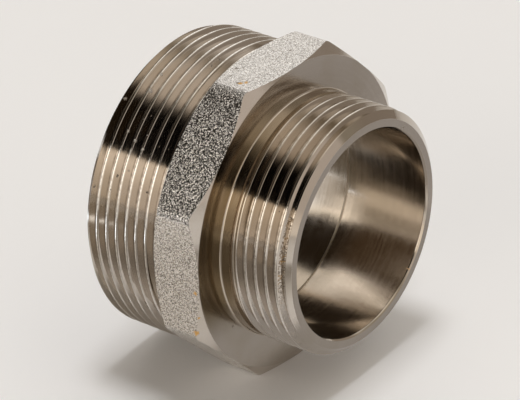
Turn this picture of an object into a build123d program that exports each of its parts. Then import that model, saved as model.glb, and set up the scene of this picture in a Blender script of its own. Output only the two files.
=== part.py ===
from build123d import *
import math
import os

# Barrel nipple, reducing: a wide male thread, an octagonal wrench body and a narrower male thread,
# all of one forged and turned piece. Millimetres, the axis along X, the narrow end at +X, one flat
# of the octagon down on Z = 0, and the origin under the middle of the length.

# Pipe thread, the same form on both ends, its rounded root drawn as a plain V
threads_per_inch = 11
pitch = 25.4 / threads_per_inch
groove_depth = 0.7 * pitch
flank_angle = 27.5
runout_length = 1.6

# Wide end, its thread at full depth up to a set distance from the wrench body
wide_thread_diameter = 59.614
wide_end_length = 17.7
wide_full_depth_gap = 4.28
wide_chamfer = 1.7

# Narrow end
narrow_thread_diameter = 47.803
narrow_end_length = 14.94
narrow_full_depth_gap = 2.745
narrow_chamfer_length = 1.44
narrow_chamfer_depth = 1.8

# Wrench body, an octagon turned back at its corners on both faces
body_width = 10.3
across_flats = 60.6
flats = 8
corner_radius = 2.0
facing_radius = 30.38
facing_angle = 34.0
neck_break = 0.35

# Bores
narrow_bore_diameter = 40.54
wide_bore_diameter = 51.4
step_behind_face = 3.9
step_break = 0.4
mouth_break = 0.35

# Places along the axis
length = wide_end_length + body_width + narrow_end_length
wide_end = -length / 2
body_back = wide_end + wide_end_length
body_front = body_back + body_width
narrow_end = body_front + narrow_end_length
bore_step = body_front - step_behind_face
axis_height = across_flats / 2

# How far a cutter reaches past the metal, and how far the threaded stubs enter the body
clear = 0.2
seat = 2.0


def turned(points):
    # A solid of revolution about X from points given as (x, radius)
    outline = Polyline(*[(x, r, 0) for x, r in points], close=True)
    return revolve(make_face(outline), axis=Axis.X)


def wide_stub():
    outer = wide_thread_diameter / 2
    return turned([
        (wide_end, 0),
        (wide_end, outer - wide_chamfer),
        (wide_end + wide_chamfer, outer),
        (body_back + seat, outer),
        (body_back + seat, 0),
    ])


def narrow_stub():
    outer = narrow_thread_diameter / 2
    return turned([
        (body_front - seat, 0),
        (body_front - seat, outer + neck_break),
        (body_front, outer + neck_break),
        (body_front + neck_break, outer),
        (narrow_end - narrow_chamfer_length, outer),
        (narrow_end, outer - narrow_chamfer_depth),
        (narrow_end, 0),
    ])


def wrench_body():
    outline = RegularPolygon(across_flats / 2, flats, major_radius=False, rotation=180 / flats)
    outline = fillet(outline.vertices(), corner_radius)
    prism = Pos(body_back, 0, 0) * (Plane.YZ * extrude(outline, body_width))
    # The cone on each face leaves a round turned face and slopes back over the corners
    rise = body_width / 2 / math.tan(math.radians(facing_angle))
    middle = (body_back + body_front) / 2
    facing = turned([
        (body_back, 0),
        (body_back, facing_radius),
        (middle, facing_radius + rise),
        (body_front, facing_radius),
        (body_front, 0),
    ])
    return prism & facing


def groove_outline(path, at, side):
    # The V of the thread, square to the helix and open past the crest
    deep = groove_depth + clear
    lean = deep * math.tan(math.radians(flank_angle))
    plane = Plane(origin=path @ at, x_dir=(side, 0, 0), z_dir=path % at)
    return plane * make_face(Polyline((0, 0), (lean, deep), (-lean, deep), close=True))


def threaded(stub, outer, side, full_to, reach):
    # A right-handed groove cut a turn at a time from beyond the end of the piece to full_to, then
    # climbing out of the metal over the run-out. side is the way along X from that end to the body.
    root = outer - groove_depth
    turns = math.ceil(reach / pitch) + 1
    for turn in range(turns, 0, -1):
        path = Helix(
            pitch=pitch,
            height=pitch,
            radius=root,
            center=(full_to - side * turn * pitch, 0, 0),
            direction=(side, 0, 0),
        )
        stub = stub - sweep(groove_outline(path, 0, side), path=path, is_frenet=True)
    climb = math.degrees(math.atan((groove_depth + clear / 2) / runout_length))
    fading = Helix(
        pitch=pitch,
        height=runout_length,
        radius=root,
        center=(full_to, 0, 0),
        direction=(side, 0, 0),
        cone_angle=climb,
    )
    return stub - sweep(groove_outline(path, 1, side), path=fading, is_frenet=True)


def wide_part():
    full_to = body_back - wide_full_depth_gap
    return threaded(wide_stub(), wide_thread_diameter / 2, 1, full_to, full_to - wide_end)


def narrow_part():
    full_to = body_front + narrow_full_depth_gap
    return threaded(narrow_stub(), narrow_thread_diameter / 2, -1, full_to, narrow_end - full_to)


def passage():
    # The way through: a narrow bore from the front, a wider one from the back, a step between
    slim = narrow_bore_diameter / 2
    broad = wide_bore_diameter / 2
    return turned([
        (wide_end - clear, 0),
        (wide_end - clear, broad),
        (bore_step, broad),
        (bore_step, slim + step_break),
        (bore_step + step_break, slim),
        (narrow_end - mouth_break, slim),
        (narrow_end + clear, slim + mouth_break + clear),
        (narrow_end + clear, 0),
    ])


nipple = wide_part() + wrench_body() + narrow_part()
nipple = nipple - passage()
nipple = Pos(0, 0, axis_height) * nipple

os.makedirs("parts", exist_ok=True)
export_step(nipple, "parts/nipple_body.step")
print("nipple", round(nipple.volume, 1), nipple.is_valid, len(nipple.solids()), len(nipple.faces()))
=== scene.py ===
import math

import bpy
from mathutils import Matrix, Vector


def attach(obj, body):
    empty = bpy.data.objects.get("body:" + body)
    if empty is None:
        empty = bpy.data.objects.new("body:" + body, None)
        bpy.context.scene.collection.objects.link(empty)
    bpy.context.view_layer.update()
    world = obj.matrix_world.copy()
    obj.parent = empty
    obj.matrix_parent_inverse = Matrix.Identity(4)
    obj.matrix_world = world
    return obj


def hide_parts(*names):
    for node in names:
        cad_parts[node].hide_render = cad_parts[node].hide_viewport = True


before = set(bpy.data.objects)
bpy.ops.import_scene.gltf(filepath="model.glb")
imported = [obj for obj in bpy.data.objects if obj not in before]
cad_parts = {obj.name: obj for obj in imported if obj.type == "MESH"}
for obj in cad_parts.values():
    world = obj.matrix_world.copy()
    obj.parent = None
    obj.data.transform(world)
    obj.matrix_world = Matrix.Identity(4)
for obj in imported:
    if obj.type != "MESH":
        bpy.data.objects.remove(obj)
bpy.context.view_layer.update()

mm = 0.001


def deselectAll():
    if bpy.context.mode != "OBJECT":
        bpy.ops.object.mode_set(mode="OBJECT")
    bpy.ops.object.select_all(action="DESELECT")


def pick(obj):
    deselectAll()
    obj.select_set(True)
    bpy.context.view_layer.objects.active = obj


def editAll(obj):
    pick(obj)
    bpy.ops.object.mode_set(mode="EDIT")
    bpy.ops.mesh.select_all(action="SELECT")


def turnFacesOut(obj):
    editAll(obj)
    bpy.ops.mesh.normals_make_consistent(inside=False)
    bpy.ops.object.mode_set(mode="OBJECT")


def applyModifiers(obj):
    pick(obj)
    for name in [m.name for m in obj.modifiers]:
        bpy.ops.object.modifier_apply(modifier=name)


deselectAll()

# sizes read off the fitting, in millimetres; x runs along the axis towards the narrow end
fitting = {
    "axisHeight": 30.3,
    "acrossFlats": 60.6,
    "flats": 8,
    "wideEnd": -21.47,
    "bodyBack": -3.77,
    "bodyFront": 6.53,
    "narrowEnd": 21.47,
    "cornerRadius": 2.0,
    "cornerSteps": 5,
    "facingRadius": 30.38,
    "facingAngle": 34.0,
    "neckFillet": 0.35,
    "edgeRounding": 0.15,
    "chamferRounding": 0.3,
    "smoothAngle": 32,
}

threadForm = {
    "pitch": 25.4 / 11,
    "depth": 0.640327 * 25.4 / 11,
    "rounding": 0.137329 * 25.4 / 11,
    "flankAngle": 27.5,
    "arcSteps": 5,
    "stepsPerTurn": 144,
}

# crestAtTop is where a crest passes over the top of the piece; from fadeFrom to fadeTo the grooves
# rise to a plain land; endChamfer is its length and depth
wideThread = {
    "radius": 29.807,
    "crestAtTop": -6.898,
    "fadeFrom": -5.0,
    "fadeTo": -3.8,
    "landRadius": 29.75,
    "landSlope": 0.0,
    "endChamfer": (1.7, 1.7),
}

narrowThread = {
    "radius": 23.9015,
    "crestAtTop": 13.893,
    "fadeFrom": 10.4,
    "fadeTo": 6.9,
    "landRadius": 23.85,
    "landSlope": 0.3,
    "endChamfer": (1.44, 1.8),
}

passage = {
    "narrowRadius": 20.27,
    "wideRadius": 25.7,
    "stepAt": 2.63,
    "stepRounding": 0.4,
    "mouthRounding": 0.35,
    "cornerRounding": 0.8,
}

# how far blanks and cutters reach past the metal, and how closely points merge, in millimetres
allowance = {
    "stubSeat": 2.5,
    "bodySpare": 2.0,
    "overCrest": 0.01,
    "underCrest": 0.1,
    "pastEnds": 1.0,
    "latheMerge": 0.002,
    "latheDissolve": 0.001,
    "threadMerge": 0.01,
}


def roundedPath(corners, arcStep=15):
    # corners are (x, r, rounding); each rounded corner becomes a short arc
    path = []
    for i, (x, r, rounding) in enumerate(corners):
        if rounding <= 0 or i in (0, len(corners) - 1):
            path.append((x, r))
            continue
        here = Vector((x, r))
        toLast = (Vector(corners[i - 1][:2]) - here).normalized()
        toNext = (Vector(corners[i + 1][:2]) - here).normalized()
        half = toLast.angle(toNext) / 2
        reach = rounding / math.tan(half)
        middle = here + (toLast + toNext).normalized() * rounding / math.sin(half)
        start = here + toLast * reach - middle
        turn = start.angle_signed(here + toNext * reach - middle)
        steps = max(2, round(abs(math.degrees(turn)) / arcStep))
        for k in range(steps + 1):
            spoke = Matrix.Rotation(-turn * k / steps, 2) @ start
            path.append(tuple(middle + spoke))
    return path


def wire(name, path):
    # an edge chain in the XZ plane: a plane merged to one point, then extruded along the path
    bpy.ops.mesh.primitive_plane_add(size=mm, location=(0, 0, 0))
    obj = bpy.context.active_object
    obj.name = name
    bpy.ops.object.mode_set(mode="EDIT")
    bpy.ops.mesh.select_mode(type="VERT")
    bpy.ops.mesh.select_all(action="SELECT")
    bpy.ops.mesh.merge(type="CENTER")
    bpy.ops.transform.translate(value=(path[0][0] * mm, 0, path[0][1] * mm))
    for (xa, ra), (xb, rb) in zip(path, path[1:]):
        step = ((xb - xa) * mm, 0, (rb - ra) * mm)
        bpy.ops.mesh.extrude_region_move(TRANSFORM_OT_translate={"value": step})
    bpy.ops.object.mode_set(mode="OBJECT")
    return obj


def lathe(name, corners, steps=192):
    # a closed solid of revolution about the x axis; the path starts and ends on the axis
    obj = wire(name, roundedPath(corners))
    editAll(obj)
    bpy.ops.mesh.spin(steps=steps, angle=2 * math.pi, center=(0, 0, 0), axis=(1, 0, 0))
    bpy.ops.mesh.select_all(action="SELECT")
    bpy.ops.mesh.remove_doubles(threshold=allowance["latheMerge"] * mm)
    bpy.ops.mesh.dissolve_degenerate(threshold=allowance["latheDissolve"] * mm)
    turnFacesOut(obj)
    return obj


def combine(base, other, operation):
    mod = base.modifiers.new(operation.lower(), "BOOLEAN")
    mod.operation = operation
    mod.solver = "EXACT"
    mod.object = other
    applyModifiers(base)
    bpy.data.objects.remove(other)
    return base


def toothPath(thread):
    # one pitch of the thread from root to root, with rounded roots and crest
    pitch, depth, rounding = (threadForm[key] for key in ("pitch", "depth", "rounding"))
    crest = thread["radius"]
    root = crest - depth
    sweep = math.pi / 2 - math.radians(threadForm["flankAngle"])
    steps = threadForm["arcSteps"]
    path = []
    for k in range(steps + 1):
        a = sweep * k / steps
        path.append((-pitch / 2 + rounding * math.sin(a), root + rounding * (1 - math.cos(a))))
    for k in range(steps + 1):
        a = sweep * (1 - k / steps)
        path.append((-rounding * math.sin(a), crest - rounding * (1 - math.cos(a))))
    mirrored = [(-x, r) for x, r in reversed(path[:-1])]
    return path + mirrored


def threadTube(name, thread, low, high):
    # the tooth is screwed along the axis past both ends of the stub, and both ends are closed
    pitch = threadForm["pitch"]
    first = math.floor((low - thread["crestAtTop"]) / pitch) - 1
    turns = math.ceil((high - low) / pitch) + 2
    start = thread["crestAtTop"] + first * pitch
    obj = wire(name, [(start + x, r) for x, r in toothPath(thread)])
    screw = obj.modifiers.new("screw", "SCREW")
    screw.axis = "X"
    screw.angle = 2 * math.pi
    screw.screw_offset = pitch * mm
    screw.steps = screw.render_steps = threadForm["stepsPerTurn"]
    screw.iterations = turns
    applyModifiers(obj)
    editAll(obj)
    bpy.ops.mesh.remove_doubles(threshold=allowance["threadMerge"] * mm)
    bpy.ops.object.mode_set(mode="OBJECT")
    fadeThread(obj, thread)
    closeEnds(obj)
    return obj


def fadeThread(obj, thread):
    # towards the wrench body the grooves rise to a plain land
    span = thread["fadeTo"] - thread["fadeFrom"]
    for v in obj.data.vertices:
        t = (v.co.x / mm - thread["fadeFrom"]) / span
        if t <= 0:
            continue
        t = min(t, 1)
        risen = t * t * (3 - 2 * t)
        r = math.hypot(v.co.y, v.co.z)
        land = thread["landRadius"] - thread["landSlope"] * (v.co.x / mm - fitting["bodyFront"])
        scale = 1 + risen * (land * mm / r - 1)
        v.co.y *= scale
        v.co.z *= scale


def selectOpenEnd(obj, middle, side):
    bpy.ops.object.mode_set(mode="EDIT")
    bpy.ops.mesh.select_mode(type="EDGE")
    bpy.ops.mesh.select_all(action="DESELECT")
    bpy.ops.mesh.select_non_manifold(
        extend=False,
        use_wire=False,
        use_boundary=True,
        use_multi_face=False,
        use_non_contiguous=False,
        use_verts=False,
    )
    bpy.ops.object.mode_set(mode="OBJECT")
    points = obj.data.vertices
    for e in obj.data.edges:
        x = sum(points[i].co.x for i in e.vertices) / 2
        if (x - middle) * side < 0:
            e.select = False
    for v in points:
        v.select = False
    for e in obj.data.edges:
        if e.select:
            for i in e.vertices:
                points[i].select = True


def closeEnds(obj):
    # each open end is drawn together to a point inside the tube
    pick(obj)
    middle = sum((v.co.x for v in obj.data.vertices)) / len(obj.data.vertices)
    for side in (-1, 1):
        selectOpenEnd(obj, middle, side)
        bpy.ops.object.mode_set(mode="EDIT")
        bpy.ops.mesh.extrude_region_move(TRANSFORM_OT_translate={"value": (0, 0, 0)})
        bpy.ops.mesh.merge(type="CENTER")
        bpy.ops.object.mode_set(mode="OBJECT")
    turnFacesOut(obj)


def threadedStub(name, thread, blankCorners, low, high):
    blank = lathe(name + "Blank", blankCorners)
    tube = threadTube(name, thread, low, high)
    stub = combine(tube, blank, "INTERSECT")
    print(name, "cut,", len(stub.data.polygons), "faces")
    return stub


def wideStub():
    f = fitting
    chamferX, chamferR = wideThread["endChamfer"]
    outer = wideThread["radius"] + allowance["overCrest"]
    inBody = f["bodyBack"] + allowance["stubSeat"]
    return threadedStub("wideThread", wideThread, [
        (f["wideEnd"], 0, 0),
        (f["wideEnd"], outer - chamferR, f["edgeRounding"]),
        (f["wideEnd"] + chamferX, outer, f["chamferRounding"]),
        (inBody, outer, 0),
        (inBody, 0, 0),
    ], f["wideEnd"], inBody)


def narrowStub():
    f = fitting
    chamferX, chamferR = narrowThread["endChamfer"]
    outer = narrowThread["radius"] + allowance["overCrest"]
    inBody = f["bodyFront"] - allowance["stubSeat"]
    return threadedStub("narrowThread", narrowThread, [
        (inBody, 0, 0),
        (inBody, outer, 0),
        (f["narrowEnd"] - chamferX, outer, f["chamferRounding"]),
        (f["narrowEnd"], outer - chamferR, f["edgeRounding"]),
        (f["narrowEnd"], 0, 0),
    ], inBody, f["narrowEnd"])


def octagonBar(width, middle):
    # lies along x with one flat down and its long corners rounded
    f = fitting
    deselectAll()
    bpy.ops.mesh.primitive_cylinder_add(
        vertices=f["flats"],
        radius=f["acrossFlats"] / 2 / math.cos(math.pi / f["flats"]) * mm,
        depth=(width + 2 * allowance["bodySpare"]) * mm,
        location=(middle * mm, 0, 0),
        rotation=(0, math.pi / 2, 0),
    )
    bar = bpy.context.active_object
    bar.name = "wrenchBody"
    bpy.ops.object.transform_apply(location=True, rotation=True, scale=True)
    first = bar.data.vertices[0].co
    turn = math.pi / f["flats"] - math.atan2(first.z, first.y)
    bar.data.transform(Matrix.Rotation(turn, 4, "X"))
    bpy.ops.object.mode_set(mode="EDIT")
    bpy.ops.mesh.select_mode(type="EDGE")
    bpy.ops.mesh.select_all(action="DESELECT")
    bpy.ops.object.mode_set(mode="OBJECT")
    for e in bar.data.edges:
        a, b = (bar.data.vertices[i].co for i in e.vertices)
        e.select = abs(a.x - b.x) > mm
    bpy.ops.object.mode_set(mode="EDIT")
    setBack = f["cornerRadius"] * math.tan(math.pi / f["flats"]) * mm
    bpy.ops.mesh.bevel(offset=setBack, segments=f["cornerSteps"])
    bpy.ops.object.mode_set(mode="OBJECT")
    return bar


def wrenchBody():
    # the octagon turned back at its corners on both faces, with a small fillet at the narrow neck
    f = fitting
    width = f["bodyFront"] - f["bodyBack"]
    middle = (f["bodyFront"] + f["bodyBack"]) / 2
    rise = width / 2 / math.tan(math.radians(f["facingAngle"]))
    fillet, under, spare = f["neckFillet"], allowance["underCrest"], allowance["bodySpare"]
    wide, narrow = wideThread["radius"], narrowThread["radius"]
    facing = [
        (f["bodyBack"] - fillet, 0, 0),
        (f["bodyBack"] - fillet, wide - under, 0),
        (f["bodyBack"], wide - under, 0),
        (f["bodyBack"], f["facingRadius"], f["edgeRounding"]),
        (middle, f["facingRadius"] + rise, 0),
        (f["bodyFront"], f["facingRadius"], f["edgeRounding"]),
        (f["bodyFront"], narrow, fillet),
        (f["bodyFront"] + spare, narrow - under, 0),
        (f["bodyFront"] + spare, 0, 0),
    ]
    bar = octagonBar(width, middle)
    return combine(bar, lathe("facing", facing), "INTERSECT")


def fullPassage():
    # the narrow bore, the step and the wide bore as one cutter
    p, f, past = passage, fitting, allowance["pastEnds"]
    mouth = p["mouthRounding"]
    return lathe("passage", [
        (f["wideEnd"] - past, 0, 0),
        (f["wideEnd"] - past, p["wideRadius"] + past + mouth, 0),
        (f["wideEnd"] + mouth, p["wideRadius"], mouth),
        (p["stepAt"], p["wideRadius"], p["cornerRounding"]),
        (p["stepAt"], p["narrowRadius"], p["stepRounding"]),
        (f["narrowEnd"] - mouth, p["narrowRadius"], mouth),
        (f["narrowEnd"] + past, p["narrowRadius"] + past + mouth, 0),
        (f["narrowEnd"] + past, 0, 0),
    ])


def buildFitting():
    wide, narrow = wideStub(), narrowStub()
    shell = combine(wrenchBody(), wide, "UNION")
    shell = combine(shell, narrow, "UNION")
    shell = combine(shell, fullPassage(), "DIFFERENCE")
    shell.name = "nippleShell"
    shell.data.transform(Matrix.Translation((0, 0, fitting["axisHeight"] * mm)))
    pick(shell)
    bpy.ops.object.shade_smooth_by_angle(angle=math.radians(fitting["smoothAngle"]))
    # the small rounded faces take up the turn of the surface, so the long ones reflect truly
    even = shell.modifiers.new("evenNormals", "WEIGHTED_NORMAL")
    even.mode = "FACE_AREA"
    even.weight = 100
    even.keep_sharp = True
    applyModifiers(shell)
    print("fitting joined and bored,", len(shell.data.polygons), "faces")
    return shell


# finishes: everything is the same nickel plate; what differs is how the metal under it was made,
# and some marks paint light and shade into the colour
# heights and sizes are in millimetres, the rest are colours, roughnesses and shares
finish = {
    "plate": (0.605, 0.555, 0.502),
    "plateWarm": (0.50, 0.44, 0.355),
    "borePlate": (0.585, 0.52, 0.445),
    "blastLitCopy": (0.97, 0.955, 0.94),
    "blastShadedCopy": (0.80, 0.755, 0.70),
    "blastDark": (0.07, 0.06, 0.05),
    "crestWearAndHighlight": (0.90, 0.88, 0.84),
    "burr": (0.95, 0.92, 0.88),
    "darkBrown": (0.36, 0.29, 0.21),
    "neckGrey": (0.50, 0.475, 0.465),
    "stainAndReflectionBrown": (0.22, 0.165, 0.09),
    "grime": (0.10, 0.07, 0.045),
    # grime darkens the dirt spots and pits, and also paints shade into the thread roots
    "rust": (0.62, 0.33, 0.06),
    "threadRoughness": 0.085,
    "facedRoughness": 0.15,
    "boreRoughness": 0.14,
    "blastRoughness": 0.22,
    "toolMarkHeight": 0.0016,
    "facedMarkHeight": 0.0008,
    "boreMarkHeight": 0.0002,
    "blastHeight": 0.18,
    "clumpHeight": 1.2,
    "burrHeight": 0.12,
    "tornDepth": 0.04,
    "dirtDepth": 0.015,
    "lessShadeNearNeck": 0.8,
    "pitSpacing": 2.1,
    "pitSize": 0.11,
    "pitLeast": 0.4,
    "flatPits": 0.3,
    "fineContrast": 0.68,
    "coarseContrast": 0.95,
    "topHollowLoss": 0.3,
    "fineHollow": (0.41, 0.52),
    "coarseHollow": (0.49, 0.56),
    "edgeShade": 0.035,
    "fineFrost": 0.65,
    "topFrost": 0.35,
    "coarseFrost": 0.25,
}

# how much of the plate's colour a mark covers, and how much rougher it makes the plate
covers = {"torn": 0.75, "burr": 0.8, "step": 0.8, "pit": 0.85, "darkMark": 0.80, "rust": 0.9}
rougher = {"wornAndLit": 0.07, "torn": 0.3, "neck": 0.07, "burr": 0.45, "step": 0.15, "darkMark": 0.35}

# noise in the metal: features to a millimetre, detail and roughness
patterns = {
    "cloud": (0.07, 3.0, 0.6),
    "mottle": (0.9, 4.0, 0.65),
    "fineGrain": (1 / 0.21, 2.5, 0.6),
    "coarseGrain": (1 / 0.25, 2.0, 0.6),
    "clumps": (0.32 / 0.21, 1.0, 0.5),
    "flecks": (2.6, 3.0, 0.65),
    "burrEdge": (5.0, 3.0, 0.7),
    "dirtEdge": (3.0, 3.0, 0.6),
}

# noise drawn out round the axis: features to a millimetre along it, round it, detail and roughness
turnedPatterns = {
    "toolMarks": (9.0, 1.2, 2.0, 0.6),
    "faintMarks": (2.2, 0.8, 3.0, 0.5),
    "streaks": (0.8, 45.0, 2.0, 0.7),
}

# what a noise does: its value from the first number to the second gives the third to the fourth
levels = {
    "plateRoughness": (0.3, 0.75, 0.9, 1.2),
    "warmClouds": (0.42, 0.72, 0.0, 0.45),
    "warmMottle": (0.50, 0.80, 0.0, 0.15),
    "markRoughness": (0.35, 0.70, -0.015, 0.03),
    "platePatches": (0.45, 0.8, 0.0, 0.25),
    "frost": (0.49, 0.58, 0.0, 1.0),
    "groovePatches": (0.35, 0.65, 0.15, 0.60),
    "crestStreaks": (0.36, 0.54, 0.25, 1.0),
    "tornFlecks": (0.50, 0.56, 0.0, 1.0),
    "tornRust": (0.5, 0.6, 0.0, 1.0),
    "neckPatches": (0.3, 0.7, 0.55, 0.9),
    "burrEdge": (0.3, 0.7, -0.22, 0.22),
    "dirtEdge": (0.2, 0.8, -0.22, 0.22),
    "pitChance": (0.55, 0.60, 0.0, 1.0),
}

# where a finish starts or ends, in mm from the middle along x and from the axis across; each pair
# is one soft edge, and four numbers also say how strong it is on either side
zones = {
    "flatReach": (29.2, 29.9),
    "flatUpperEdge": (5.0, 12.0),
    "rootShadeAbove": (0.03, 0.45),
    "rootShadeBelow": (-0.3, -0.1),
    "rootShadeEnds": (19.2, 19.7),
    "lessShadeFrom": (0.0, 1.0),
    "lessShadeTo": (9.0, 10.6),
    "crestBandUnder": (-0.055, -0.025),
    "crestBandOver": (0.02, 0.2),
    "crestHighlightHeight": (-20.0, -2.0, 0.15, 1.0),
    "tornAt": 19.8,
    "tornReach": (0.2, 0.45),
    "tornLowEnd": (-6.0, 3.0, 0.2, 1.0),
    "tornHighEnd": (12.0, 14.0),
    "tornSide": (-18.0, -14.0),
    "neckFrom": (6.5, 6.6),
    "neckTo": (7.6, 8.2),
    "neckRadius": (24.1, 24.3),
    "shadedNarrowFrom": (6.5, 9.0),
    "shadedNarrowHeight": (2.0, 14.0, 0.0, 0.35),
    "stainFromThread": (1.0, 7.0),
    "stainStrength": (0.9, 0.2),
    "stainInside": (-21.0, 0.0, 1.0, 0.2),
    "reflectionAside": (-25.0, -12.0, 0.9, 0.0),
    "stainFront": (6.7, 7.3),
    "stainRadius": (29.9, 30.6),
    "stainHeight": (-17.0, -6.0),
    "stepEdgeAfter": 0.3,
    "stepEdgeReach": (0.25, 0.55),
    "stepEdgeRadius": (20.9, 21.3),
    "spotEdge": (0.55, 1.25),
    "pitEdge": (0.6, 1.1),
}

# spots seen on the real one: place in mm, size in mm
spots = {
    "grime": [
        ((1.5, -9.8, 60.6), 0.55), ((-8.62, -2.5, 59.3), 0.20), ((-8.65, -4.9, 59.1), 0.25),
        ((-2.2, -5.5, 60.6), 0.40), ((1.8, 5.5, 60.6), 0.30), ((-15.1, -25.8, 43.7), 0.20),
        ((-12.9, -25.1, 45.2), 0.20), ((-19.7, -27.2, 40.6), 0.22), ((-8.0, -26.0, 42.5), 0.20),
        ((21.47, -8.4, 49.1), 0.32), ((21.47, 13.2, 46.7), 0.30), ((6.53, -21.4, 16.3), 0.22),
    ],
    "rust": [
        ((1.9, -9.7, 60.6), 0.45), ((5.6, -30.3, 27.7), 0.40), ((5.2, -30.3, 19.0), 0.55),
        ((21.0, 14.2, 15.4), 0.30),
        ((2.6, -8.9, 60.6), 0.40), ((5.9, -30.2, 22.5), 0.25),
    ],
    "burr": [
        ((-19.96, -16.6, 54.2), 0.24), ((-15.6, -14.4, 56.1), 0.34), ((-15.6, -21.4, 50.8), 0.18),
        ((-13.3, -22.2, 50.0), 0.22), ((-11.0, -23.0, 49.2), 0.20), ((-15.7, -10.9, 57.9), 0.22),
    ],
}


def addNode(tree, kind, sockets=None, **settings):
    node = tree.nodes.new("ShaderNode" + kind)
    for key, value in settings.items():
        setattr(node, key, value)
    for key, value in (sockets or {}).items():
        if isinstance(value, bpy.types.NodeSocket):
            tree.links.new(value, node.inputs[key])
        else:
            node.inputs[key].default_value = value
    return node


def calc(tree, operation, *values):
    return addNode(tree, "Math", dict(enumerate(values)), operation=operation).outputs[0]


def times(tree, product, *others):
    for other in others:
        product = calc(tree, "MULTIPLY", product, other)
    return product


def plus(tree, first, second):
    return calc(tree, "ADD", first, second)


def minus(tree, first, second):
    return calc(tree, "SUBTRACT", first, second)


def ramp(tree, value, low, high, toLow=0.0, toHigh=1.0):
    sockets = {"Value": value, "From Min": low, "From Max": high, "To Min": toLow, "To Max": toHigh}
    return addNode(tree, "MapRange", sockets, interpolation_type="SMOOTHSTEP").outputs["Result"]


def fadeOut(tree, value, edge):
    return ramp(tree, value, *edge, 1.0, 0.0)


def zoneFrom(start, key):
    return [start + distance for distance in zones[key]]


def within(tree, value, centre, edge):
    away = calc(tree, "ABSOLUTE", minus(tree, value, centre))
    return fadeOut(tree, away, edge)


def blend(tree, amount, first, second):
    mix = addNode(tree, "Mix", data_type="RGBA")
    for index, value in ((0, amount), (6, first), (7, second)):
        socket = mix.inputs[index]
        if isinstance(value, bpy.types.NodeSocket):
            tree.links.new(value, socket)
        elif socket.type == "RGBA":
            socket.default_value = (*value, 1)
        else:
            socket.default_value = value
    return mix.outputs[2]


def axisCoordinates(tree):
    # object coordinates in mm, the same from the axis by x, y and z, and the distance from the axis
    place = addNode(tree, "TexCoord").outputs["Object"]
    scale = {0: place, "Scale": 1 / mm}
    scaled = addNode(tree, "VectorMath", scale, operation="SCALE").outputs[0]
    drop = {0: scaled, 1: (0, 0, -fitting["axisHeight"])}
    lowered = addNode(tree, "VectorMath", drop, operation="ADD").outputs[0]
    parts = addNode(tree, "SeparateXYZ", {0: lowered}).outputs
    y, z = parts["Y"], parts["Z"]
    square = plus(tree, times(tree, y, y), times(tree, z, z))
    return scaled, parts, calc(tree, "SQRT", square)


def noise(tree, vector, scale, detail, roughness):
    sockets = {"Vector": vector, "Scale": scale, "Detail": detail, "Roughness": roughness}
    return addNode(tree, "TexNoise", sockets).outputs[0]


def pattern(skin, key):
    return noise(skin["tree"], skin["place"], *patterns[key])


def turnedPattern(skin, key):
    # for marks left by a lathe tool: quick changes along and away from the axis, slow around it
    tree, parts, radius = skin["tree"], skin["parts"], skin["radius"]
    fine, around, detail, roughness = turnedPatterns[key]
    y = times(tree, calc(tree, "DIVIDE", parts["Y"], radius), around)
    z = times(tree, calc(tree, "DIVIDE", parts["Z"], radius), around)
    along = times(tree, plus(tree, parts["X"], radius), fine)
    vector = addNode(tree, "CombineXYZ", {0: along, 1: y, 2: z}).outputs[0]
    return noise(tree, vector, 1.0, detail, roughness)


def level(skin, value, key):
    return ramp(skin["tree"], value, *levels[key])


def spotMask(skin, places, wobble):
    # round spots, their edges broken up by a wobble in mm
    tree = skin["tree"]
    total = None
    for centre, size in places:
        points = {0: skin["place"], 1: centre}
        away = addNode(tree, "VectorMath", points, operation="DISTANCE").outputs["Value"]
        reach = [size * share for share in zones["spotEdge"]]
        mask = fadeOut(tree, plus(tree, away, wobble), reach)
        total = mask if total is None else calc(tree, "MAXIMUM", total, mask)
    return total


def pits(skin):
    # scattered dark specks: a cell gives one only where its own random value is high
    tree, spacing = skin["tree"], finish["pitSpacing"]
    cell = addNode(tree, "TexVoronoi", {"Vector": skin["place"], "Scale": 1 / spacing})
    away = times(tree, cell.outputs["Distance"], spacing)
    chance = addNode(tree, "SeparateColor", {0: cell.outputs["Color"]}).outputs
    reach = times(tree, finish["pitSize"], plus(tree, finish["pitLeast"], chance[1]))
    speck = fadeOut(tree, calc(tree, "DIVIDE", away, reach), zones["pitEdge"])
    return times(tree, level(skin, chance[0], "pitChance"), speck)


# a surface is put together in steps, and each changes its colour, its roughness or its height
def tint(skin, amount, colour):
    skin["colour"] = blend(skin["tree"], amount, skin["colour"], finish[colour])


def roughen(skin, amount, change):
    skin["rough"] = plus(skin["tree"], skin["rough"], times(skin["tree"], amount, change))


def raiseUp(skin, amount, change):
    skin["height"] = plus(skin["tree"], skin["height"], times(skin["tree"], amount, change))


def turnMarks(skin, height):
    faint = turnedPattern(skin, "faintMarks")
    skin["rough"] = plus(skin["tree"], skin["rough"], level(skin, faint, "markRoughness"))
    skin["height"] = times(skin["tree"], turnedPattern(skin, "toolMarks"), height)


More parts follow.
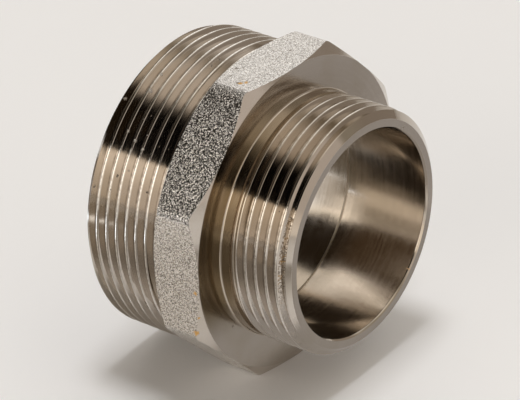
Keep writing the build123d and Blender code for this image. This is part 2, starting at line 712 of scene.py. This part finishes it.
def blastFlats(skin):
    # one flat has a coarser grain than the others; its darker look and stronger dark grains are
    # painted shade from dark surroundings
    tree, parts, f = skin["tree"], skin["parts"], finish
    reach = zones["flatReach"]
    lean = times(tree, minus(tree, parts["Z"], parts["Y"]), math.sqrt(0.5))
    leaning = ramp(tree, lean, *reach)
    fine, coarse = pattern(skin, "fineGrain"), pattern(skin, "coarseGrain")
    grain = plus(tree, fine, times(tree, leaning, minus(tree, coarse, fine)))
    clumps = times(tree, pattern(skin, "clumps"), f["clumpHeight"])
    skin["height"] = times(tree, plus(tree, grain, clumps), f["blastHeight"])
    # the flat on top is frosted more than the ones at the sides; the top and the coarse flat get a
    # lighter colour than the sides: painted light, and on the coarse flat its bright grains are
    # painted glints
    top = ramp(tree, parts["Z"], *reach)
    bright = calc(tree, "MAXIMUM", top, leaning)
    skin["colour"] = blend(tree, bright, f["blastShadedCopy"], f["blastLitCopy"])
    tint(skin, level(skin, skin["mottle"], "platePatches"), "plate")
    # painted shade: the coarse flat is darkest along its upper edge
    across = times(tree, plus(tree, parts["Z"], parts["Y"]), math.sqrt(0.5))
    shade = ramp(tree, across, *zones["flatUpperEdge"], 0.0, f["edgeShade"])
    grain = minus(tree, grain, times(tree, leaning, shade))
    # painted light and shade: the dark hollows are fewer on the top flat and stronger on the coarse
    # flat
    hollow = [ramp(tree, lean, *reach, *ends) for ends in zip(f["fineHollow"], f["coarseHollow"])]
    sunk = fadeOut(tree, grain, hollow)
    deep = ramp(tree, lean, *reach, f["fineContrast"], f["coarseContrast"])
    shallow = minus(tree, 1.0, times(tree, top, f["topHollowLoss"]))
    tint(skin, times(tree, sunk, deep, shallow), "blastDark")
    frosted = plus(tree, f["fineFrost"], times(tree, top, f["topFrost"]))
    frosted = ramp(tree, lean, *reach, frosted, f["coarseFrost"])
    skin["frost"] = times(tree, level(skin, grain, "frost"), frosted)


def shadeThreadRoots(skin):
    # painted shade: the thread roots are darkened in patches with the grime colour
    tree, x, radius = skin["tree"], skin["parts"]["X"], skin["radius"]
    darkMark = None
    for thread in (wideThread, narrowThread):
        root = thread["radius"] - threadForm["depth"]
        mask = fadeOut(tree, radius, zoneFrom(root, "rootShadeAbove"))
        mask = times(tree, mask, ramp(tree, radius, *zoneFrom(root, "rootShadeBelow")))
        mask = times(tree, mask, within(tree, x, 0.0, zones["rootShadeEnds"]))
        darkMark = mask if darkMark is None else plus(tree, darkMark, mask)
    # the painted shade is weaker in the shallow grooves beside the neck
    lessShade = times(tree, ramp(tree, x, *zones["lessShadeFrom"]), fadeOut(tree, x, zones["lessShadeTo"]))
    darkMark = times(tree, darkMark, minus(tree, 1.0, times(tree, lessShade, finish["lessShadeNearNeck"])))
    tint(skin, times(tree, darkMark, level(skin, skin["mottle"], "groovePatches")), "grime")


def rubAndHighlightCrests(skin):
    # the crest lines are painted lighter, unevenly along their length and less underneath: partly
    # rubbed wear, partly a painted highlight from the light above
    tree, radius = skin["tree"], skin["radius"]
    wornAndLit = None
    for thread in (wideThread, narrowThread):
        top = thread["radius"]
        mask = ramp(tree, radius, *zoneFrom(top, "crestBandUnder"))
        mask = times(tree, mask, fadeOut(tree, radius, zoneFrom(top, "crestBandOver")))
        wornAndLit = mask if wornAndLit is None else plus(tree, wornAndLit, mask)
    # painted highlight: stronger on top than underneath
    wornAndLit = times(tree, wornAndLit, ramp(tree, skin["parts"]["Z"], *zones["crestHighlightHeight"]))
    wornAndLit = times(tree, wornAndLit, level(skin, turnedPattern(skin, "streaks"), "crestStreaks"))
    tint(skin, wornAndLit, "crestWearAndHighlight")
    roughen(skin, wornAndLit, rougher["wornAndLit"])


def tearLastCrest(skin):
    # the last crest before the end chamfer is torn and dirty on one side
    tree, parts = skin["tree"], skin["parts"]
    torn = within(tree, parts["X"], zones["tornAt"], zones["tornReach"])
    torn = times(tree, torn, ramp(tree, parts["Z"], *zones["tornLowEnd"]))
    torn = times(tree, torn, fadeOut(tree, parts["Z"], zones["tornHighEnd"]))
    torn = times(tree, torn, fadeOut(tree, parts["Y"], zones["tornSide"]))
    torn = times(tree, torn, level(skin, pattern(skin, "flecks"), "tornFlecks"))
    darkMark = blend(tree, level(skin, skin["mottle"], "tornRust"), finish["grime"], finish["rust"])
    skin["colour"] = blend(tree, times(tree, torn, covers["torn"]), skin["colour"], darkMark)
    roughen(skin, torn, rougher["torn"])
    raiseUp(skin, torn, -finish["tornDepth"])


def dullNeck(skin):
    # the plain neck beside the wrench body is greyer and duller than the flanks
    tree, x = skin["tree"], skin["parts"]["X"]
    neck = times(tree, fadeOut(tree, x, zones["neckTo"]), ramp(tree, x, *zones["neckFrom"]))
    neck = times(tree, neck, fadeOut(tree, skin["radius"], zones["neckRadius"]))
    tint(skin, times(tree, neck, level(skin, skin["mottle"], "neckPatches")), "neckGrey")
    roughen(skin, neck, rougher["neck"])


def shadeNarrowEndTop(skin):
    # painted shade: the upper side of the narrow end is darker and browner
    tree, parts = skin["tree"], skin["parts"]
    upper = ramp(tree, parts["Z"], *zones["shadedNarrowHeight"])
    tint(skin, times(tree, ramp(tree, parts["X"], *zones["shadedNarrowFrom"]), upper), "darkBrown")


def leaveBurrs(skin):
    burr = spotMask(skin, spots["burr"], level(skin, pattern(skin, "burrEdge"), "burrEdge"))
    tint(skin, times(skin["tree"], burr, covers["burr"]), "burr")
    roughen(skin, burr, rougher["burr"])
    raiseUp(skin, burr, finish["burrHeight"])


def stainAndReflectFace(skin):
    # a brown stain on the front face, strongest beside the thread; on the -y side of the face the
    # same brown is a painted reflection of dark surroundings
    tree, parts, radius = skin["tree"], skin["parts"], skin["radius"]
    besideThread = zoneFrom(narrowThread["radius"], "stainFromThread")
    stain = ramp(tree, radius, *besideThread, *zones["stainStrength"])
    stain = times(tree, stain, ramp(tree, parts["Y"], *zones["stainInside"]))
    # painted reflection: the -y side of the face is darkened across the stain
    darkReflection = ramp(tree, parts["Y"], *zones["reflectionAside"])
    stain = calc(tree, "MAXIMUM", stain, darkReflection)
    stain = times(tree, stain, fadeOut(tree, parts["X"], zones["stainFront"]))
    stain = times(tree, stain, fadeOut(tree, radius, zones["stainRadius"]))
    tint(skin, times(tree, stain, ramp(tree, parts["Z"], *zones["stainHeight"])), "stainAndReflectionBrown")


def dullStep(skin):
    # the rounded edge of the step inside is duller than the bores
    tree = skin["tree"]
    centre = passage["stepAt"] + zones["stepEdgeAfter"]
    edge = within(tree, skin["parts"]["X"], centre, zones["stepEdgeReach"])
    edge = times(tree, edge, fadeOut(tree, skin["radius"], zones["stepEdgeRadius"]))
    tint(skin, times(tree, edge, covers["step"]), "darkBrown")
    roughen(skin, edge, rougher["step"])


def speckle(skin, pitted):
    # pits, dirt and rust lie over everything else
    tree = skin["tree"]
    speck = times(tree, pits(skin), pitted)
    wobble = level(skin, pattern(skin, "dirtEdge"), "dirtEdge")
    dirty, rusty = (spotMask(skin, spots[kind], wobble) for kind in ("grime", "rust"))
    tint(skin, times(tree, speck, covers["pit"]), "grime")
    tint(skin, times(tree, dirty, covers["darkMark"]), "grime")
    tint(skin, times(tree, rusty, covers["rust"]), "rust")
    dull = calc(tree, "MAXIMUM", calc(tree, "MAXIMUM", dirty, rusty), speck)
    roughen(skin, dull, rougher["darkMark"])
    raiseUp(skin, dull, -finish["dirtDepth"])
    return dull


def nickelPlate(name, roughness, steps, plate="plate", marks=0.0, pitted=1.0):
    # slightly cloudy plate, then the steps that make this finish what it is
    material = bpy.data.materials.new(name)
    material.use_nodes = True
    tree = material.node_tree
    place, parts, radius = axisCoordinates(tree)
    skin = {"tree": tree, "place": place, "parts": parts, "radius": radius}
    skin["mottle"] = pattern(skin, "mottle")
    skin["colour"] = finish[plate]
    low, high, least, most = levels["plateRoughness"]
    skin["rough"] = ramp(tree, skin["mottle"], low, high, roughness * least, roughness * most)
    skin["frost"] = 0.0
    tint(skin, level(skin, pattern(skin, "cloud"), "warmClouds"), "plateWarm")
    tint(skin, level(skin, skin["mottle"], "warmMottle"), "plateWarm")
    if marks:
        turnMarks(skin, marks)
    for step in steps:
        step(skin)
    dull = speckle(skin, pitted)
    bump = addNode(tree, "Bump", {"Height": skin["height"], "Distance": mm, "Strength": 1.0})
    shader = tree.nodes["Principled BSDF"]
    tree.links.new(skin["colour"], shader.inputs["Base Color"])
    tree.links.new(skin["rough"], shader.inputs["Roughness"])
    tree.links.new(bump.outputs[0], shader.inputs["Normal"])
    # dirt, rust and frosted grains aren't bare metal
    covered = calc(tree, "MAXIMUM", dull, skin["frost"])
    tree.links.new(minus(tree, 1.0, covered), shader.inputs["Metallic"])
    print("finish", name, "ready")
    return material


# how a face's finish is told from its place and its normal; distances in mm
faceRules = {
    "boreInward": -0.3,
    "stepInside": 0.2,
    "stepFromMiddle": 10,
    "bodySlack": 0.1,
    "flatTilt": 0.05,
    "flatSlack": 0.05,
    "facedTilt": 0.3,
    "facedFromThread": 0.3,
    "endTilt": 0.9,
    "endFromMiddle": 21,
}


def finishOf(face):
    f, rule = fitting, faceRules
    x, y, z = (c / mm for c in face.center)
    z -= f["axisHeight"]
    r = math.hypot(y, z)
    tilt = abs(face.normal.x)
    reach = face.normal.y * y + face.normal.z * z
    inBody = f["bodyBack"] - rule["bodySlack"] < x < f["bodyFront"] + rule["bodySlack"]
    inside = r < passage["wideRadius"] - rule["stepInside"]
    if reach / r < rule["boreInward"] or (inside and abs(x) < rule["stepFromMiddle"]):
        return "bore"
    if inBody and tilt < rule["flatTilt"] and reach > f["acrossFlats"] / 2 - rule["flatSlack"]:
        return "blasted"
    if inBody and tilt > rule["facedTilt"] and r > narrowThread["radius"] + rule["facedFromThread"]:
        return "faced"
    if tilt > rule["endTilt"] and abs(x) > rule["endFromMiddle"]:
        return "faced"
    return "threaded"


def dressFitting(obj):
    f = finish
    onThreads = [shadeThreadRoots, rubAndHighlightCrests, tearLastCrest, dullNeck, shadeNarrowEndTop, leaveBurrs]
    finishes = {
        "threaded": nickelPlate(
            "threadedPlate", f["threadRoughness"], onThreads, marks=f["toolMarkHeight"],
        ),
        "blasted": nickelPlate(
            "blastedPlate", f["blastRoughness"], [blastFlats], pitted=f["flatPits"],
        ),
        "faced": nickelPlate(
            "facedPlate", f["facedRoughness"], [stainAndReflectFace], marks=f["facedMarkHeight"],
        ),
        "bore": nickelPlate(
            "borePlate", f["boreRoughness"], [dullStep],
            plate="borePlate", marks=f["boreMarkHeight"], pitted=0.0,
        ),
    }
    obj.data.materials.clear()
    for material in finishes.values():
        obj.data.materials.append(material)
    order = list(finishes)
    for face in obj.data.polygons:
        face.material_index = order.index(finishOf(face))


nipple = buildFitting()
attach(nipple, "root")
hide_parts("nipple_body")
dressFitting(nipple)
print("fitting dressed")

# the photograph's view: angles in degrees, distance and target in metres, lens in mm
view = {
    "azimuth": 38.986,
    "elevation": 30.021,
    "roll": -2.913,
    "distance": 0.6159,
    "target": (0.00010, -0.00352, 0.03257),
    "lens": 227.97,
    "sensor": 36,
}


def addCamera():
    az, el = math.radians(view["azimuth"]), math.radians(view["elevation"])
    back = Vector((math.sin(az) * math.cos(el), -math.cos(az) * math.cos(el), math.sin(el)))
    camera = bpy.data.cameras.new("camera")
    camera.lens = view["lens"]
    camera.sensor_width = view["sensor"]
    eye = bpy.data.objects.new("camera", camera)
    bpy.context.scene.collection.objects.link(eye)
    eye.location = Vector(view["target"]) + back * view["distance"]
    roll = Matrix.Rotation(math.radians(view["roll"]), 3, "Z")
    eye.rotation_euler = (back.to_track_quat("Z", "Y").to_matrix() @ roll).to_euler()
    bpy.context.scene.camera = eye


addCamera()
print("camera placed")

# the room round the object: soft boxes and dark cloths, placed by direction in degrees
# azimuth 0 is in front of the object, 90 to its right
studio = {
    "room": (0.37, 0.33, 0.27),
    "areas": [
        {"azimuth": 150, "halfWidth": 30, "low": -20, "high": 24, "soft": 9,
         "colour": (0.33, 0.28, 0.235)},
        {"azimuth": -150, "halfWidth": 24, "low": -20, "high": 12, "soft": 9,
         "colour": (0.70, 0.65, 0.60)},
        {"azimuth": -147, "halfWidth": 14, "low": 14, "high": 42, "soft": 9,
         "colour": (1.35, 1.29, 1.22)},
        {"azimuth": 88, "halfWidth": 34, "low": -20, "high": 34, "soft": 8,
         "colour": (0.68, 0.61, 0.55)},
        {"azimuth": -117, "halfWidth": 46, "low": 54, "high": 82, "soft": 18,
         "colour": (1.07, 0.99, 0.90)},
        {"azimuth": -8, "halfWidth": 66, "low": 10, "high": 77, "soft": 9, "softAside": 24,
         "colour": (0.003, 0.003, 0.003)},
        {"azimuth": -88, "halfWidth": 17, "low": 9, "high": 50, "soft": 6,
         "colour": (0.01, 0.01, 0.01)},
        {"azimuth": 118, "halfWidth": 38, "low": 46, "high": 84, "soft": 14,
         "colour": (0.96, 0.88, 0.76)},
        {"azimuth": 176, "halfWidth": 24, "low": 28, "high": 84, "soft": 14,
         "colour": (0.97, 0.94, 0.90)},
        {"azimuth": -68, "halfWidth": 16, "low": -20, "high": 20, "soft": 6,
         "colour": (1.0, 0.90, 0.76)},
    ],
    # a pale card stands in front of the object; its straight top edge is cardTop high for each
    # unit away, and it is brightest low down and straight ahead
    "cardTop": 0.72,
    "cardTopSoft": (-0.02, 0.025),
    "cardHalfWidth": 72,
    "cardSideSoft": 0.08,
    "cardColour": (1.07, 0.97, 0.85),
    "cardBright": (2.08, 1.90, 1.66),
    "cardBrightRise": (0.15, 0.66),
    "cardBrightAside": (0.35, 0.95),
    "floorColour": (0.88, 0.885, 0.90),
    "floorRoughness": 0.9,
    "floorSpecular": 0.1,
    "floorSize": 8.0,
    "floorHeight": -0.05,
    "lampHeight": 1.2,
    "lampSize": 0.30,
    "lampPower": 5.2,
    # cards on the floor and round the open wide end, which paint light and shade into the
    # reflections and show nowhere else; low and high corners in mm
    "cards": [
        {"name": "frontSheet", "low": (-60, -360, 0.2), "high": (140, -30, 0.2), "soft": 30,
         "glow": (0.34, 0.31, 0.275)},
        {"name": "brownSheet", "low": (-260, -360, 0.4), "high": (-27, -28, 0.4), "soft": 12,
         "glow": (0.50, 0.44, 0.37)},
        {"name": "backSheet", "low": (30, -30, 0.4), "high": (300, 320, 0.4), "soft": 25,
         "glow": (0.40, 0.37, 0.345)},
        {"name": "nearSheet", "low": (7, -26, 0.35), "high": (60, 60, 0.35), "soft": 6,
         "glow": (0.38, 0.355, 0.33)},
        {"name": "lowScreen", "low": (-28, -38, -2), "high": (-28, -5, 22), "soft": 3,
         "glow": (0.14, 0.115, 0.085)},
        {"name": "darkSheet", "low": (-125, -33, 0.6), "high": (-33, 105, 0.6), "soft": 8,
         "glow": (0.11, 0.072, 0.038)},
        {"name": "whiteSheet", "low": (-78, -78, 20), "high": (-35, -11, 20), "soft": 4,
         "glow": (2.45, 2.55, 2.70)},
        {"name": "whiteScreen", "low": (-45, -33, 15), "high": (-45, -12, 46), "soft": 5,
         "glow": (2.00, 2.12, 2.28)},
        {"name": "greyScreen", "low": (-45.5, -46, 10), "high": (-45.5, -30, 47), "soft": 3,
         "glow": (0.62, 0.57, 0.52)},
        {"name": "highScreen", "low": (-45, -42, 47.5), "high": (-45, 4, 80), "soft": 3,
         "glow": (0.02, 0.013, 0.007)},
        {"name": "middleScreen", "low": (-28, -31, 19), "high": (-28, -15.5, 30), "soft": 2,
         "glow": (0.26, 0.215, 0.165)},
        {"name": "darkScreen", "low": (-28, -37, 43.5), "high": (-28, 9, 76), "soft": 3,
         "glow": (0.02, 0.013, 0.007)},
    ],
}


def softBox(tree, azimuth, elevation, area):
    half, soft = math.radians(area["halfWidth"]), math.radians(area["soft"]) / 2
    softAside = math.radians(area.get("softAside", area["soft"])) / 2
    offset = minus(tree, azimuth, math.radians(area["azimuth"]))
    aside = calc(tree, "ABSOLUTE", calc(tree, "WRAP", offset, math.pi, -math.pi))
    middle = math.radians(area["low"] + area["high"]) / 2
    reach = math.radians(area["high"] - area["low"]) / 2
    across = fadeOut(tree, aside, (half - softAside, half + softAside))
    return times(tree, across, within(tree, elevation, middle, (reach - soft, reach + soft)))


def lightRoom():
    world = bpy.data.worlds.new("studio")
    bpy.context.scene.world = world
    world.use_nodes = True
    tree = world.node_tree
    direction = addNode(tree, "TexCoord").outputs["Object"]
    parts = addNode(tree, "SeparateXYZ", {0: direction}).outputs
    ahead = times(tree, parts["Y"], -1.0)
    azimuth = calc(tree, "ARCTAN2", parts["X"], ahead)
    elevation = calc(tree, "ARCSINE", parts["Z"])
    colour = studio["room"]
    for area in studio["areas"]:
        colour = blend(tree, softBox(tree, azimuth, elevation, area), colour, area["colour"])
    rise = calc(tree, "DIVIDE", parts["Z"], calc(tree, "MAXIMUM", ahead, 0.001))
    aside = calc(tree, "ABSOLUTE", azimuth)
    top = [studio["cardTop"] + soft for soft in studio["cardTopSoft"]]
    half, soft = math.radians(studio["cardHalfWidth"]), studio["cardSideSoft"]
    card = times(tree, fadeOut(tree, rise, top), fadeOut(tree, aside, (half - soft, half + soft)))
    bright = ramp(tree, rise, *studio["cardBrightRise"])
    bright = times(tree, bright, fadeOut(tree, aside, studio["cardBrightAside"]))
    paper = blend(tree, bright, studio["cardColour"], studio["cardBright"])
    colour = blend(tree, card, colour, paper)
    tree.links.new(colour, tree.nodes["Background"].inputs["Color"])


def layFloor():
    deselectAll()
    place = (0, 0, studio["floorHeight"] * mm)
    bpy.ops.mesh.primitive_plane_add(size=studio["floorSize"], location=place)
    floor = bpy.context.active_object
    floor.name = "floor"
    paper = bpy.data.materials.new("paper")
    paper.use_nodes = True
    shader = paper.node_tree.nodes["Principled BSDF"]
    shader.inputs["Base Color"].default_value = (*studio["floorColour"], 1)
    shader.inputs["Roughness"].default_value = studio["floorRoughness"]
    shader.inputs["Specular IOR Level"].default_value = studio["floorSpecular"]
    floor.data.materials.append(paper)


def hangLamp():
    # one soft lamp straight above, kept out of the glossy reflections: it whitens the floor and the
    # frosted and dull patches
    bpy.ops.object.light_add(type="AREA", location=(0, 0, studio["lampHeight"]))
    lamp = bpy.context.active_object
    lamp.name = "lampAbove"
    lamp.data.size = studio["lampSize"]
    lamp.data.energy = studio["lampPower"]
    lamp.visible_glossy = False


def glowingPaper(card, size):
    # glows evenly and turns clear towards its edges
    paper = bpy.data.materials.new(card["name"])
    paper.use_nodes = True
    tree = paper.node_tree
    tree.nodes.remove(tree.nodes["Principled BSDF"])
    place = addNode(tree, "TexCoord").outputs["Object"]
    place = addNode(tree, "SeparateXYZ", {0: place}).outputs
    soft = card["soft"] * mm
    inside = 1.0
    for axis, reach in zip("XYZ", size / 2):
        if reach > 0:
            away = calc(tree, "ABSOLUTE", place[axis])
            inside = times(tree, inside, fadeOut(tree, away, (reach - soft, reach)))
    glow = addNode(tree, "Emission", {"Color": (*card["glow"], 1), "Strength": 1.0}).outputs[0]
    clear = addNode(tree, "BsdfTransparent").outputs[0]
    mixed = addNode(tree, "MixShader", {0: inside, 1: clear, 2: glow}).outputs[0]
    tree.links.new(mixed, tree.nodes["Material Output"].inputs["Surface"])
    return paper


def standCard(card):
    # a card shows in reflections and nowhere else
    low, high = Vector(card["low"]) * mm, Vector(card["high"]) * mm
    size = high - low
    deselectAll()
    bpy.ops.mesh.primitive_plane_add(size=1, location=(low + high) / 2)
    sheet = bpy.context.active_object
    sheet.name = card["name"]
    upright = size.x == 0
    sheet.scale = (size.z if upright else size.x, size.y, 1)
    sheet.rotation_euler.y = math.pi / 2 if upright else 0
    bpy.ops.object.transform_apply(location=False, rotation=True, scale=True)
    sheet.data.materials.append(glowingPaper(card, size))
    sheet.visible_camera = False
    sheet.visible_diffuse = False
    sheet.visible_shadow = False


lightRoom()
layFloor()
hangLamp()
for card in studio["cards"]:
    standCard(card)
bpy.context.scene.view_settings.view_transform = "Standard"
print("studio set up")
